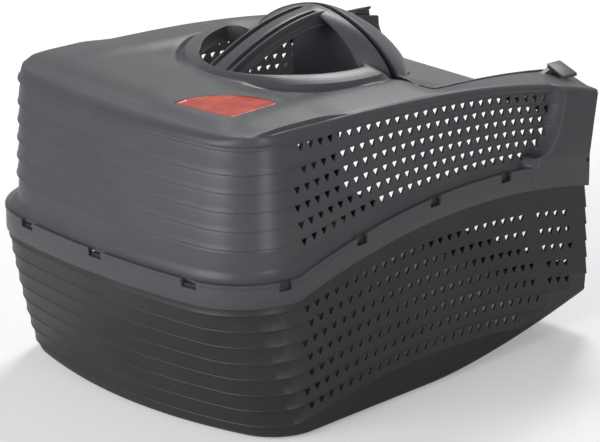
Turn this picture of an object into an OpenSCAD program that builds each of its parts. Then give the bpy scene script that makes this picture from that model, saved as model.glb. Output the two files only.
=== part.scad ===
// Grass box of a rear discharge lawn mower: two moulded shells, a front cover and a level indicator.
// X runs from the rear wall to the mower, Y to the left, Z up. The box stands on z = 0.

/* [Overall] */
// Length from the rear of the skirt to the front edge of the top
box_length = 606; // [570:1:650]
// Width over the skirt
box_width = 440; // [400:1:480]
// Height of the crease round the top, at the rear
rear_height = 356; // [340:1:380]
// How far that crease falls on its way to the front
front_fall = 67; // [50:1:80]
// Rise of the bottom at the front
bottom_rise = 48; // [30:1:60]
// Part of the side that stands flat on the ground before the bottom rises
flat_share = 0.45; // [0.40:0.01:0.50]
// Wall of every moulding
wall = 2.8; // [2.2:0.1:3.4]
// Gap between pieces that fit together
clearance = 0.4; // [0.3:0.05:0.6]

/* [Rear wall and corners] */
// Outward bulge of the rear wall
rear_bulge = 24; // [14:1:30]
// Outward bulge of the rear wall at the ground
foot_bulge = 42; // [30:1:48]
// Corner radius of the skirt
skirt_radius = 95; // [80:1:105]
// Corner radius of the upper wall at its foot
wall_radius = 82; // [70:1:90]
// Corner radius under the top crease
top_radius = 62; // [50:1:72]
// Corner radius of the lower shell at the ground
foot_radius = 66; // [55:1:80]
// How far the rear wall leans in above the skirt
rear_lean = 10; // [5:1:18]
// How far the rear wall runs in below the skirt
foot_lean = 45; // [34:1:52]
// How far each side runs in below the skirt
side_lean = 9; // [5:1:14]
// Depth of the rolled edge at the rear of the top
rear_roll = 32; // [24:1:40]

/* [Joint between the shells] */
// Lower edge of the skirt at the rear
joint_height = 168; // [155:1:180]
// Height of the arch that the joint makes along each side
joint_rise = 36; // [20:1:45]
// Height of the skirt
skirt_height = 27; // [22:1:32]
// Width of the ledge above the skirt
ledge = 14; // [10:1:18]
// Height of the wall's foot above the top of the skirt
foot_height = 11; // [8:1:14]
// How far below the wall's foot lies the line that the upper steps fan out from
fan_drop = 16; // [12:1:18]
// Share of the joint's rise that this line follows
fan_share = 0.83; // [0.75:0.01:1]

/* [Steps] */
// Number of steps in the upper wall
upper_steps = 6; // [5:1:6]
// Share of the height from the fan's line to the crease at which the lowest step lies
upper_first = 0.283; // [0.272:0.001:0.300]
// Share of that height from one step to the next
upper_pitch = 0.1272; // [0.118:0.0002:0.130]
// Number of steps in the lower shell
lower_steps = 8; // [6:1:8]
// Distance from the joint down to the first step of the lower shell, at the rear
lower_first = 9; // [7:0.5:11]
// Distance from one step of the lower shell to the next
lower_pitch = 20; // [18:0.5:20.5]
// Share of the joint's rise that the lower steps follow
lower_share = 0.88; // [0.80:0.01:0.95]
// How far the first lower step falls on its way to the front
lower_fall = 12; // [8:1:16]
// Depth of a step
step_depth = 1.4; // [0.8:0.1:2.0]

/* [Perforation] */
// Width of a hole
hole_width = 8.4; // [6:0.2:9.4]
// Height of a hole
hole_height = 8.4; // [6:0.2:10]
// Distance from one hole to the next
hole_pitch = 15.1; // [13:0.1:18]
// Distance from a step's line down to the holes below it
hole_drop = 3.6; // [3:0.1:4.5]
// Rearmost hole of each row
hole_start = 112; // [108:1:140]
// Plain wall between the lower shell's foremost holes and the front of the top
lower_margin = 46; // [44:1:90]
// Plain wall between the lower shell's lowest holes and its bottom edge
plain_foot = 31; // [26:1:40]

/* [Recess in each side] */
// Foremost reach of the recess, at the top
recess_end = 539; // [510:1:545]
// How far the end of the recess leans back towards its foot
recess_lean = 61; // [30:1:70]
// Height of the raised ridge at the end of the recess
ridge_height = 2.4; // [1:0.2:4]
// Width of the ridge
ridge_width = 16; // [12:1:22]

/* [Ring and handle] */
// Centre of the ring behind the front edge of the top
ring_setback = 329; // [315:1:340]
// Outer radius of the ring
ring_radius = 127; // [120:1:130]
// Height of the ring above the top
ring_height = 9; // [7:1:12]
// Width of the ring's top face behind the opening
ring_face = 34; // [28:1:38]
// Length of the opening from its rear point to its widest place
opening_length = 127; // [116:1:130]
// Greatest width of the opening
opening_width = 228; // [214:1:232]
// Height of the hoop above the top
hoop_height = 52; // [44:1:60]
// Length of the hoop's band
hoop_band = 20; // [14:1:26]
// Width between the hoop's feet at its rear edge
hoop_span = 168; // [150:1:176]
// Width over the hoop's feet at its front edge
hoop_width = 230; // [210:1:240]
// Width of the hand strip
strip_width = 46; // [38:1:52]
// Depth of the hand strip
strip_depth = 18; // [14:1:22]

/* [Front cover] */
// Width of the cover
cover_width = 304; // [290:1:316]
// Drop of the cover's floor below the crease at the front
cover_drop = 32; // [26:1:36]
// Length of the hump behind the hoop
hump_length = 163; // [140:1:175]
// Dip of the shoulders beside the hump
shoulder_dip = 14; // [8:1:16]
// Rise of the shoulders from that dip to the front
shoulder_rise = 19; // [14:1:24]
// Height of the rail along each side of the cover
rail_height = 2; // [1:0.5:4]
// Depth of the cover's rim along each side
rim_depth = 9; // [7:1:12]
// Length of each hook
hook_length = 24; // [18:1:30]
// Width of each hook
hook_width = 28; // [22:1:34]
// Height of each hook above the shoulder
hook_height = 14; // [10:1:18]

/* [Mouth] */
// Width of the mouth in the front
mouth_width = 376; // [340:1:384]
// Height of the mouth's lower edge
mouth_bottom = 72; // [66:1:90]
// Height of the mouth's upper edge
mouth_top = 240; // [230:1:244]

/* [Level indicator] */
// Radius of the indicator's round edge
flap_radius = 75; // [68:1:78]
// Thickness of the indicator
flap_thickness = 2.4; // [2:0.1:3]
// Distance of the round edge's centre from the rear of the skirt
flap_x = 82; // [80:1:90]
// Distance of that centre from the middle of the box
flap_y = 124; // [120:1:128]
// Depth of the indicator's face below the top
flap_depth = 3; // [2:0.5:4]
// Radius of its pivot pins
pin_radius = 1.6; // [1.2:0.1:2]

/* [Latches] */
// Width of a latch window
window_width = 15; // [10:1:16]
// Height of a latch window in the skirt
window_height = 11; // [7:1:13]
// Depth of a latch window into the ledge
window_depth = 4; // [3.8:0.1:6]

/* [Hidden] */

upper_grey = [0.38, 0.39, 0.41];
lower_grey = [0.20, 0.19, 0.19];
cover_grey = [0.42, 0.43, 0.46];
flap_red = [0.85, 0.27, 0.18];

half_width = box_width / 2;
top_half = half_width - 23;
middle_x = box_length / 2;
skirt_front = box_length - 30;
foot_front = box_length - 22;
lip = 0.8;
foot_z = joint_height + skirt_height + foot_height;
ring_x = box_length - ring_setback;
opening_rear = ring_x - ring_radius + ring_face;
opening_end = opening_rear + opening_length;
foot_angle = atan2(opening_width / 2, opening_end - ring_x);
hoop_x = opening_end + 22;
cover_x = hoop_x + hoop_band + 3;
cover_half = cover_width / 2;
shoulder_y = 130;
window_x = [83, 198, 315, 432];
window_y = [-140, 0, 122];
// Foremost hole of each upper row behind the recess's end, and one hole of each lower row behind the front
upper_row_ends = [53, 42, 31, 31, 20, 24];
lower_row_ends = [158, 151, 130, 121, 118, 109, 147];
seam_half = 12;

// Points along the outline
side_points = 9;
corner_points = 6;
rear_points = 5;
front_points = 6;
ridge_steps = [1, 0.35, -0.1, -1];

function mix(a, b, t) = a + (b - a) * t;
function limit(t) = min(1, max(0, t));
function smooth(t) = let (u = limit(t)) u * u * (3 - 2 * u);
function side_of(y) = y < 0 ? -1 : 1;

// How far along the side a point lies: 0 at the corner, 1 at the front
function along(x) = limit((x - skirt_radius - 8) / (box_length - skirt_radius - 8));
// Height of the crease round the top
function crease_z(x) = let (t = along(x)) rear_height - front_fall * (0.35 * t + 0.65 * pow(t, 3.2));
// Rise of the joint along the side
function joint_lift(x) = let (t = along(x)) 4 * joint_rise * t * (1 - t) + 6 * t;
// Rise of the bottom towards the front
function bottom_z(x) = bottom_rise * pow(limit((along(x) - flat_share) / (1 - flat_share)), 1.6);
// Crown of the top: nearly flat in the middle, falling over the shoulders and towards the rear edge
function crown(x, y) = mix(0.25, 1, smooth((x - 56) / 60))
    * (4 * (1 - pow(min(abs(y), shoulder_y) / shoulder_y, 2))
       + 8 * (1 - pow(limit((abs(y) - shoulder_y) / (top_half - shoulder_y)), 1.3)));
// Dip of the shoulders beside the hump and their rise from there to the front
function dip(x) = shoulder_rise * pow(limit((x - hoop_x - 52) / (box_length - hoop_x - 56)), 1.2)
    - shoulder_dip * smooth((x - hoop_x + 5) / 60);
function top_z(x, y) = crease_z(x) + crown(x, y)
    + dip(x) * smooth((top_half - abs(y)) / (top_half - cover_half)) * smooth((abs(y) - 90) / 50);
// Height of the ring above the top, dying away towards the hoop's feet
function ring_z(x) = ring_height * (1 - 0.7 * limit((x - ring_x + 20) / 80));

// Angle at which the bulged rear wall meets its corner arc, found by repetition
function corner_angle(b, sag, r, n = 8) =
    n == 0 ? 0 : atan(2 * sag * (b - r * (1 - sin(corner_angle(b, sag, r, n - 1)))) / (b * b));

// Left half of a level's outline, from the front along the side and round the corner to the rear.
// level is [half width, rear x, bulge, corner radius, front x]; swell moves the foremost points out.
function half_outline(level, ridge_x, swell) =
    let (b = level[0], xr = level[1], sag = level[2], r = level[3], xf = level[4],
         nu = corner_angle(b, sag, r), yc = b - r * (1 - sin(nu)),
         cx = xr + sag * pow(yc / b, 2) + r * cos(nu), side_x = ridge_x - 2 * ridge_width)
    concat(
        [[xf, b + swell[0]]],
        [for (i = [0 : 3]) [ridge_x + ridge_steps[i] * ridge_width, b + swell[i + 1]]],
        [for (i = [0 : side_points - 1]) [mix(side_x, cx, i / side_points), b]],
        [for (i = [0 : corner_points - 1]) let (a = 90 + (90 - nu) * i / corner_points)
            [cx + r * cos(a), b - r + r * sin(a)]],
        [for (i = [0 : rear_points]) let (y = yc * (1 - i / rear_points)) [xr + sag * pow(y / b, 2), y]]);

// Closed outline: left side, rear, right side, and back across the front
function outline(half) =
    let (n = len(half), xf = half[0][0], b = half[0][1])
    concat(half, [for (i = [n - 2 : -1 : 0]) [half[i][0], -half[i][1]]],
           [for (i = [1 : front_points - 1]) [xf, mix(-b, b, i / front_points)]]);
function half_count() = 5 + side_points + corner_points + rear_points + 1;

// Faces between neighbouring loops of n points each
function bands(count, n, closed) =
    [for (k = [0 : count - (closed ? 1 : 2)], i = [0 : n - 1], half = [0, 1])
        let (a = k * n + i, b = k * n + (i + 1) % n, c = ((k + 1) % count) * n + i,
             d = ((k + 1) % count) * n + (i + 1) % n)
        half == 0 ? [a, b, d] : [a, d, c]];
// Faces that close a loop from side to side, in the loop's own direction
function rungs(start) =
    let (h = half_count(), last = 2 * h - 2, n = last + front_points)
    concat(
        [for (i = [1 : h - 3]) [start + i, start + i + 1, start + last - i - 1]],
        [for (i = [1 : h - 2]) [start + i, start + last - i - 1, start + last - i]],
        [[start + 1, start + last - 1, start + last]],
        [for (i = [last : n - 1]) [start + 1, start + i, start + (i + 1) % n]]);
function turned(faces) = [for (f = faces) [f[0], f[2], f[1]]];
function flat_list(lists) = [for (l = lists, p = l) p];

// Wall that runs round through the given loops and back to the first
module ring_of(loops) {
    polyhedron(flat_list(loops), bands(len(loops), len(loops[0]), true), convexity = 12);
}

// Cup that runs through the given loops and is closed across the first and the last
module cup_of(loops) {
    n = len(loops[0]);
    polyhedron(flat_list(loops),
        concat(bands(len(loops), n, false), turned(rungs(0)), rungs((len(loops) - 1) * n)),
        convexity = 12);
}

// Plate between two grids of points, rows along X and places along Y
module plate_of(upper, lower) {
    m = len(upper);
    n = len(upper[0]);
    s = m * n;
    polyhedron(concat(flat_list(upper), flat_list(lower)), concat(
        [for (i = [0 : m - 2], j = [0 : n - 2]) [i * n + j, i * n + j + 1, (i + 1) * n + j + 1]],
        [for (i = [0 : m - 2], j = [0 : n - 2]) [i * n + j, (i + 1) * n + j + 1, (i + 1) * n + j]],
        [for (i = [0 : m - 2], j = [0 : n - 2]) [s + i * n + j, s + (i + 1) * n + j + 1, s + i * n + j + 1]],
        [for (i = [0 : m - 2], j = [0 : n - 2]) [s + i * n + j, s + (i + 1) * n + j, s + (i + 1) * n + j + 1]],
        [for (i = [0 : m - 2]) [i * n, (i + 1) * n, s + (i + 1) * n]],
        [for (i = [0 : m - 2]) [i * n, s + (i + 1) * n, s + i * n]],
        [for (i = [0 : m - 2]) let (e = i * n + n - 1) [e, s + e + n, e + n]],
        [for (i = [0 : m - 2]) let (e = i * n + n - 1) [e, s + e, s + e + n]],
        [for (j = [0 : n - 2]) [j, s + j + 1, j + 1]],
        [for (j = [0 : n - 2]) [j, s + j, s + j + 1]],
        [for (j = [0 : n - 2]) let (e = (m - 1) * n + j) [e, e + 1, s + e + 1]],
        [for (j = [0 : n - 2]) let (e = (m - 1) * n + j) [e, s + e + 1, s + e]]), convexity = 8);
}

// Upper wall at share w, from 0 at its foot to 1 at the crease, moved out by a step or in by the wall
function wall_plan(w, out) =
    [mix(half_width - ledge, top_half, w) + out,
     mix(ledge, ledge + rear_lean, min(w, 0.9)) + rear_roll * pow(limit((w - 0.9) / 0.1), 1.6) - out,
     rear_bulge,
     mix(wall_radius, top_radius, w) * (1 - 0.55 * limit((w - 0.9) / 0.1)) + min(out, 0),
     mix(skirt_front, box_length, foot_share(w)) + min(out, 0)];
// The same share counted from the wall's foot near the front
function foot_share(w) = limit((w - 0.2) / 0.8);
function recess_x(w) = recess_end - recess_lean * (1 - pow(foot_share(w), 0.45));
function swell(depth, share = 1) = let (ridge = share * ridge_height * limit(depth / 4))
    [depth, depth, depth + ridge, depth + 0.6 * ridge, 0];
function wall_z(x, w) = mix(foot_z - fan_drop + fan_share * joint_lift(x), crease_z(x), w);
function wall_loop(w, out, down = 0) =
    [for (p = outline(half_outline(wall_plan(w, out), recess_x(w) + (out < 0 ? 2 : 0),
                                   swell(ledge * mix(1, 0.5, foot_share(w)), out < 0 ? 0 : min(1, 4 - 4 * w)))))
        [p[0], p[1], wall_z(p[0], w) - down]];

function foot_loop(out) =
    [for (p = outline(half_outline(wall_plan(0, out), recess_x(0), swell(ledge))))
        [p[0], p[1], foot_z + joint_lift(p[0])]];

// Ledge and skirt: out runs from 0 at the wall's foot to the ledge's width at the skirt
function ledge_loop(out, height, inset = 0) =
    let (plan = [half_width - ledge + out - inset, ledge - out + inset, rear_bulge,
         mix(wall_radius, skirt_radius, out / ledge) - inset, skirt_front - inset])
    [for (p = outline(half_outline(plan, recess_x(0), swell(ledge - out))))
        [p[0], p[1], joint_height + height + joint_lift(p[0])]];

// Point of the opening's edge in the direction of a point on the crease
function opening_point(p, grow) =
    let (a = abs(atan2(p[1], p[0] - ring_x)), s = side_of(p[1]), q = (180 - a) / (180 - foot_angle),
         inner = foot_angle - 20)
    q < 1 ? [opening_rear - grow + opening_length * pow(q, 1.65), s * (opening_width / 2 * q + grow * min(1, 3 * q))]
    : a > inner ? [mix(hoop_x, opening_end - grow, (a - inner) / 20),
                   s * (mix(hoop_span / 2, opening_width / 2, (a - inner) / 20) + grow)]
    : [mix(hoop_x, cover_x + 8, min(1, (inner - a) / 12)) + grow * min(1, (inner - a) / 4),
       s * (hoop_span / 2 + grow) * a / inner];
function ring_point(p, r) = let (a = atan2(p[1], p[0] - ring_x)) [ring_x + r * cos(a), r * sin(a)];
function raise(flat, up, ring = 0) =
    [for (p = flat) [p[0], p[1], top_z(p[0], p[1]) + up + ring * ring_z(p[0])]];

module upper_body() {
    crease = wall_loop(1, 0);
    plain = outline(half_outline(wall_plan(1, 0), recess_x(1), [0, 0, 0, 0, 0]));
    edge = [for (p = plain) opening_point(p, 0)];
    inner_edge = [for (p = plain) opening_point(p, wall)];
    face = [for (p = plain) ring_point(p, ring_radius - 4)];
    base = [for (p = plain) ring_point(p, ring_radius)];
    function between(t) = [for (i = [0 : len(plain) - 1]) [mix(base[i][0], plain[i][0], t),
                                                           mix(base[i][1], plain[i][1], t)]];
    ring_of(concat(
        [raise(edge, -wall), raise(edge, 0, 1), raise(face, -0.8, 1), raise(base, 0),
         raise(between(0.42), 0), raise(between(0.78), 0), crease, wall_loop(0.965, 0)],
        [for (k = [upper_steps - 1 : -1 : 0], lower = [0, 1])
            wall_loop(upper_first + k * upper_pitch + (lower == 0 ? 0.008 : -0.014),
                      lower == 0 ? step_depth : 0)],
        [foot_loop(step_depth / 2), ledge_loop(0.2 * ledge, skirt_height + 4),
         ledge_loop(0.5 * ledge, skirt_height + 1), ledge_loop(0.9 * ledge, skirt_height),
         ledge_loop(ledge, skirt_height - 1), ledge_loop(ledge, skirt_height - 3),
         ledge_loop(ledge - lip, skirt_height - 4), ledge_loop(ledge - lip, 0),
         ledge_loop(ledge - lip, 0, wall), ledge_loop(ledge - lip, skirt_height - wall - 1, wall),
         ledge_loop(0, skirt_height - wall - 0.5, wall), wall_loop(0.21, -wall), wall_loop(0.3, -wall),
         wall_loop(0.45, -wall), wall_loop(0.65, -wall), wall_loop(0.9, -wall), wall_loop(0.985, -wall, 1),
         raise(between(0.78), -1.4 * wall), raise(between(0.42), -1.4 * wall),
         raise([for (p = plain) ring_point(p, ring_radius - wall)], -wall),
         raise([for (p = plain) ring_point(p, ring_radius - 6)], -wall, 1),
         raise(inner_edge, -wall, 1), raise(inner_edge, -wall - 0.2)]));
}

// Superellipse arch of the hoop and of the cover's hump
function arch(width, base, rise, a) =
    [width / 2 * side_of(sin(a)) * pow(abs(sin(a)), 1.25), base + rise * pow(max(0, cos(a)), 1.25)];
hoop_top = crease_z(hoop_x) + 8 + hoop_height;
module hoop() {
    rear_base = top_z(hoop_x, hoop_span / 2) - 4;
    front_base = top_z(hoop_x + hoop_band, hoop_width / 2) - 4;
    angles = [for (i = [0 : 18]) -90 + 10 * i];
    function row(x, width, base, cut) =
        [for (a = angles) let (p = arch(width - 2 * cut, base, hoop_top - base - cut, a)) [x, p[0], p[1]]];
    plate_of(
        [row(hoop_x, hoop_span, rear_base, 0),
         row(hoop_x + 0.5 * hoop_band, mix(hoop_span, hoop_width, 0.42), mix(rear_base, front_base, 0.5), -1),
         row(hoop_x + hoop_band, hoop_width, front_base, 0)],
        [row(hoop_x, hoop_span, rear_base, wall),
         row(hoop_x + 0.5 * hoop_band, mix(hoop_span, hoop_width, 0.42), mix(rear_base, front_base, 0.5), wall - 1),
         row(hoop_x + hoop_band, hoop_width, front_base, wall)]);
}

// Hand strip from the ring to the hoop: grooved on top and hollow beneath
function strip_line(t) =
    let (x = mix(opening_rear - 4, hoop_x + hoop_band - 1, t), rear = top_z(opening_rear, 0) + ring_height - 4)
    [x, mix(rear, hoop_top, pow(sin(90 * min(1, t / 0.9)), 0.85)) - 1.4 * smooth((t - 0.85) / 0.15)];
module hand_strip() {
    s = strip_width / 48;
    tops = [[-24, 1], [-24, 0.9], [-21, 0.3], [-18, 0.03], [-15, 0], [-13, 0.2], [-10, 0.2], [-8, 0],
            [8, 0], [10, 0.2], [13, 0.2], [15, 0], [18, 0.03], [21, 0.3], [24, 0.9], [24, 1]];
    unders = [[-21.2, 1], [-21, 0.9], [-18.5, 0.5], [-17, 0.4], [-15, 0.38], [-13, 0.38], [-10, 0.38], [-8, 0.38],
              [8, 0.38], [10, 0.38], [13, 0.38], [15, 0.38], [17, 0.4], [18.5, 0.5], [21, 0.9], [21.2, 1]];
    function rows(section) =
        [for (i = [0 : 9]) let (p = strip_line(i / 9), end = 1 - 0.6 * pow(limit(1 - i / 1.5), 1))
            [for (q = section) [p[0], q[0] * s, p[1] - q[1] * strip_depth * end]]];
    plate_of(rows(tops), rows(unders));
}

// Hook at the front of each shoulder: a slanting plate on a tapering web
module hook(side) {
    x0 = box_length - 10 - hook_length;
    x1 = box_length - 10;
    y0 = cover_half + 1;
    y1 = y0 + hook_width;
    z0 = top_z(x1, y0) + hook_height;
    function at(x, y, up) = [x, side * y, z0 - 0.35 * (y - y0) + up];
    function pair(x, a, b) = side > 0 ? [a, b] : [b, a];
    plate_of([pair(0, at(x0, y0, 0), at(x0, y1, 0)), pair(0, at(x1, y0, -1), at(x1, y1, -1))],
             [pair(0, at(x0, y0, -3.5), at(x0, y1, -3.5)), pair(0, at(x1, y0, -4.5), at(x1, y1, -4.5))]);
    function root(x, y) = [x, side * y, top_z(x, y) - 1];
    plate_of([pair(0, at(x0 + 3, y0 + 2, -2), at(x0 + 3, y0 + 7, -2)),
              pair(0, at(x1 - 3, y0 + 2, -2), at(x1 - 3, y0 + 7, -2))],
             [pair(0, root(x0 - 14, y0 + 2), root(x0 - 14, y0 + 7)), pair(0, root(x1 - 1, y0 + 2), root(x1 - 1, y0 + 7))]);
}

// Floor of the cover, its hump behind the hoop and the height of its edges
function cover_share(x) = limit((x - cover_x) / (box_length - cover_x));
function floor_z(x) = mix(crease_z(cover_x) + 4, crease_z(box_length) - cover_drop, cover_share(x));
function hump(x) = (hoop_top + 1 - crease_z(cover_x) - 4) * (1 - pow(limit((x - cover_x) / hump_length), 2.2));
function cover_edge(x) = top_z(x, cover_half) - 0.6;
function cover_z(x, y) =
    let (s = min(1, abs(y) / (hoop_width / 2)), floor = floor_z(x), edge = cover_edge(x),
         rise = pow(limit((abs(y) - hoop_width / 2 - 3) / (cover_half - hoop_width / 2 - 3)), 2))
    mix(floor, edge, rise) + hump(x) * pow(max(0, 1 - pow(s, 1.6)), 0.625);

// Outline of the indicator, grown by a gap; its corner lies a little beside the centre of the round edge
flap_spread = 49.8;
function flap_outline(grow) =
    let (r = flap_radius + grow, spread = flap_spread + (grow > 0 ? 0.6 : 0))
    concat([[5.5 - grow, -5.5 - grow]],
        [for (i = [0 : 14]) let (a = 45 - spread + 2 * spread * i / 14) [r * cos(a), r * sin(a)]]);
flap_top = top_z(flap_x, flap_y) - flap_depth + 1.5;
pin_z = flap_top - flap_thickness / 2;
chord_half = flap_radius * sin(flap_spread);
chord_out = flap_radius * cos(flap_spread);
module at_flap() { translate([flap_x, -flap_y, 0]) children(); }
// Along the line between the indicator's two tips, which is its axis
module at_chord(along) {
    at_flap() rotate([0, 0, -45]) translate([along, chord_out, pin_z]) children();
}

// Rows of holes below the steps; each is a triangle with its point down, cut through both sides
module hole(x, z) {
    translate([x, z]) polygon([[-hole_width / 2, 0], [0, -hole_height], [hole_width / 2, 0]]);
}
module through_sides() {
    rotate([90, 0, 0]) linear_extrude(height = box_width + 20, center = true) children();
}

module upper_shell() {
    color(upper_grey)
        difference() {
            union() {
                difference() {
                    upper_body();
                    // Room for the front cover
                    rotate([90, 0, 0]) linear_extrude(height = cover_width, center = true)
                        polygon([[cover_x, cover_edge(cover_x) - rim_depth - clearance],
                                 [cover_x + 46, cover_edge(cover_x + 46) - rim_depth - clearance],
                                 [box_length, floor_z(box_length) - wall - clearance],
                                 [box_length + 9, floor_z(box_length) - wall - clearance],
                                 [box_length + 9, 440], [cover_x, 440]]);
                }
                hoop();
                hand_strip();
                for (side = [-1, 1]) hook(side);
                for (side = [-1, 1]) at_chord(side * (chord_half + 4))
                    translate([-2.5, -4, -4.5]) cube([5, 8, 7]);
            }
            // Mouth
            translate([skirt_front - 40, -mouth_width / 2, 0])
                cube([80, mouth_width, mouth_top]);
            // Opening for the indicator and the bores of its pins
            at_flap() linear_extrude(height = 500) polygon(flap_outline(1));
            at_chord(0) rotate([0, 90, 0])
                cylinder(r = pin_radius + 0.3, h = 2 * chord_half + 14, center = true, $fn = 24);
            // Screw hole in each front panel
            translate([box_length - 33, 0, 214]) rotate([90, 0, 0])
                cylinder(d = 5, h = box_width + 20, center = true, $fn = 24);
            through_sides()
                for (k = [0 : upper_steps - 1], x = [recess_end - upper_row_ends[k] : -hole_pitch : hole_start])
                    hole(x, wall_z(x, upper_first + k * upper_pitch) - hole_drop);
            // Latch windows in the edge of the ledge
            for (side = [-1, 1], x = window_x)
                translate([x - window_width / 2, side < 0 ? -half_width - 2 : half_width - window_depth,
                           joint_height + joint_lift(x) + skirt_height - window_height])
                    cube([window_width, window_depth + 2, window_height + 5]);
            for (y = window_y)
                translate([rear_bulge * pow(y / half_width, 2) - 2, y - window_width / 2,
                           joint_height + skirt_height - window_height])
                    cube([window_depth + 3, window_width, window_height + 5]);
        }
}

// Lower shell at share v, from 0 at the ground to 1 at the joint; fore is that share at the front
function lower_plan(v, out, fore) =
    [mix(half_width - side_lean, half_width - lip - wall - clearance, v) + out,
     mix(foot_lean, lip + wall + clearance, pow(v, 0.8)) - out,
     mix(foot_bulge, rear_bulge, v),
     mix(foot_radius, skirt_radius - wall - clearance, v) + out,
     mix(foot_front, skirt_front - wall - clearance, fore) + min(out, 0)];
function lower_z(x, v) = mix(bottom_z(x), joint_height + joint_lift(x), v);
// Line of a step, counted down from the joint; near the front it stays above the rising bottom
function free_line(x, k) = let (t = along(x)) joint_height - lower_first - k * lower_pitch
    + lower_share * 4 * joint_rise * t * (1 - t) - (lower_fall + k) * t;
function line_z(x, k) = max(free_line(x, k), lower_z(x, 0.085 + 0.03 * (lower_steps - 1 - k)));
function line_loop(k, up, out) =
    let (low = bottom_z(box_length), fore = (line_z(box_length, k) - low) / (lower_z(box_length, 1) - low),
         plan = lower_plan(free_line(0, k) / joint_height, out, fore))
    [for (p = outline(half_outline(plan, recess_end, [0, 0, 0, 0, 0]))) [p[0], p[1], line_z(p[0], k) + up]];
// Plain seam that runs down from the foot of the recess's end
function seam_x(z) = recess_end - 59 + 0.28 * (joint_height - z);
function lower_loop(v, out, up = 0) =
    [for (p = outline(half_outline(lower_plan(v, out, v), recess_end, [0, 0, 0, 0, 0])))
        [p[0], p[1], lower_z(p[0], v) + up]];

module lower_shell() {
    rim = skirt_height - wall - 1.5;
    color(lower_grey)
        difference() {
            cup_of(concat(
                [lower_loop(0, -14, wall), lower_loop(0.03, -wall - 3, wall), lower_loop(0.09, -wall),
                 lower_loop(0.5, -wall), lower_loop(1, -wall), lower_loop(1, -wall, rim), lower_loop(1, 0, rim),
                 lower_loop(1, 0)],
                [for (k = [0 : lower_steps - 1], lower = [0, 1])
                    line_loop(k, lower == 0 ? 1.2 : -2, lower == 0 ? step_depth : 0)],
                [lower_loop(0.05, 0), lower_loop(0.018, -3.5), lower_loop(0, -12)]));
            // Mouth
            translate([skirt_front - 40, -mouth_width / 2, mouth_bottom])
                cube([80, mouth_width, 400]);
            through_sides()
                for (k = [0 : len(lower_row_ends) - 1], n = [-6 : 26])
                    let (x = box_length - lower_row_ends[k] - n * hole_pitch, z = free_line(x, k) - hole_drop)
                        if (k < lower_steps && x >= hole_start && x <= box_length - lower_margin
                            && z > bottom_z(x) + plain_foot && abs(x - seam_x(z)) > seam_half)
                            hole(x, z);
        }
}

module front_cover() {
    half = cover_half - clearance;
    places = [for (i = [0 : 24]) mix(-half + 7, half - 7, i / 24)];
    stations = [for (i = [0 : 14]) mix(cover_x + 3, box_length - 2, i / 14)];
    function rim_z(x) = cover_z(x, cover_half) + rail_height;
    function rim(x, side, down) = [for (y = side < 0 ? [-half, wall - half] : [half - wall, half])
        [x, y, rim_z(x) - down]];
    color(cover_grey) plate_of(
        [for (x = stations) concat(rim(x, -1, 0), [for (y = places) [x, y, cover_z(x, y)]], rim(x, 1, 0))],
        [for (x = stations) concat(rim(x, -1, rim_depth), [for (y = places) [x, y, cover_z(x, y) - wall]],
                                   rim(x, 1, rim_depth))]);
}

module level_indicator() {
    color(flap_red) {
        at_flap() translate([0, 0, flap_top - flap_thickness])
            linear_extrude(height = flap_thickness) polygon(flap_outline(0));
        at_chord(0) rotate([0, 90, 0])
            cylinder(r = pin_radius, h = 2 * chord_half + 13, center = true, $fn = 24);
    }
}

translate([-middle_x, 0, 0]) {
    upper_shell();
    lower_shell();
    front_cover();
    level_indicator();
}
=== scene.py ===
"""Looks of a lawn mower's grass box: two moulded shells, a front cover and a level indicator."""
import math

import bmesh
import bpy
import numpy as np
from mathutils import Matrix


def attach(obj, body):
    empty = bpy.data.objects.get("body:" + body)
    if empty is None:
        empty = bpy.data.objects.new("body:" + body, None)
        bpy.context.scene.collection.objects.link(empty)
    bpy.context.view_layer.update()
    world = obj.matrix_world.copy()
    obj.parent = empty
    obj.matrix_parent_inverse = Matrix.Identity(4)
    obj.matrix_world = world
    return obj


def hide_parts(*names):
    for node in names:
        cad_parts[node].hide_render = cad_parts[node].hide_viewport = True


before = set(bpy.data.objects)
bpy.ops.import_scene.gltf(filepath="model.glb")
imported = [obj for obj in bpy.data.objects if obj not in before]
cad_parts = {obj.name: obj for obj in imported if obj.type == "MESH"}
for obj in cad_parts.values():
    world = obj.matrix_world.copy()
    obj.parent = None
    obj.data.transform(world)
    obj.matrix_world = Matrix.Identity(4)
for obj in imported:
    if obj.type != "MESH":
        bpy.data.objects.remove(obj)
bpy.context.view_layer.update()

# Sizes in millimetres; x is counted from the rear of the skirt, y to the left, z up
BOX_LENGTH = 606.0
HALF_WIDTH = 220.0
TOP_HALF = 197.0
MIDDLE_X = 303.0
REAR_HEIGHT = 356.0
FRONT_FALL = 67.0
BOTTOM_RISE = 48.0
FLAT_SHARE = 0.45
WALL = 2.8
THIN = 1.7
CLEARANCE = 0.4

REAR_BULGE = 24.0
FOOT_BULGE = 42.0
SKIRT_RADIUS = 95.0
WALL_RADIUS = 82.0
TOP_RADIUS = 62.0
FOOT_RADIUS = 66.0
REAR_LEAN = 10.0
FOOT_LEAN = 45.0
SIDE_LEAN = 9.0
CREASE_X = 48.0
CREASE_RADIUS = 34.0
ROLL_START = 0.936
SIDE_ROLL = 5.0
REAR_SINK = 6.0

JOINT_HEIGHT = 168.0
JOINT_RISE = 36.0
SKIRT_HEIGHT = 27.0
LEDGE = 14.0
LIP = 0.8
FOOT_Z = 206.0
FAN_DROP = 16.0
FAN_SHARE = 0.83
SKIRT_FRONT = 576.0
FOOT_FRONT = 584.0

UPPER_STEPS = 6
UPPER_FIRST = 0.283
UPPER_PITCH = 0.1272
LOWER_STEPS = 8
LOWER_FIRST = 9.0
LOWER_PITCH = 20.0
LOWER_SHARE = 0.88
LOWER_FALL = 12.0
STEP_DEPTH = 1.9
GROOVE_DEPTH = 0.5

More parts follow.
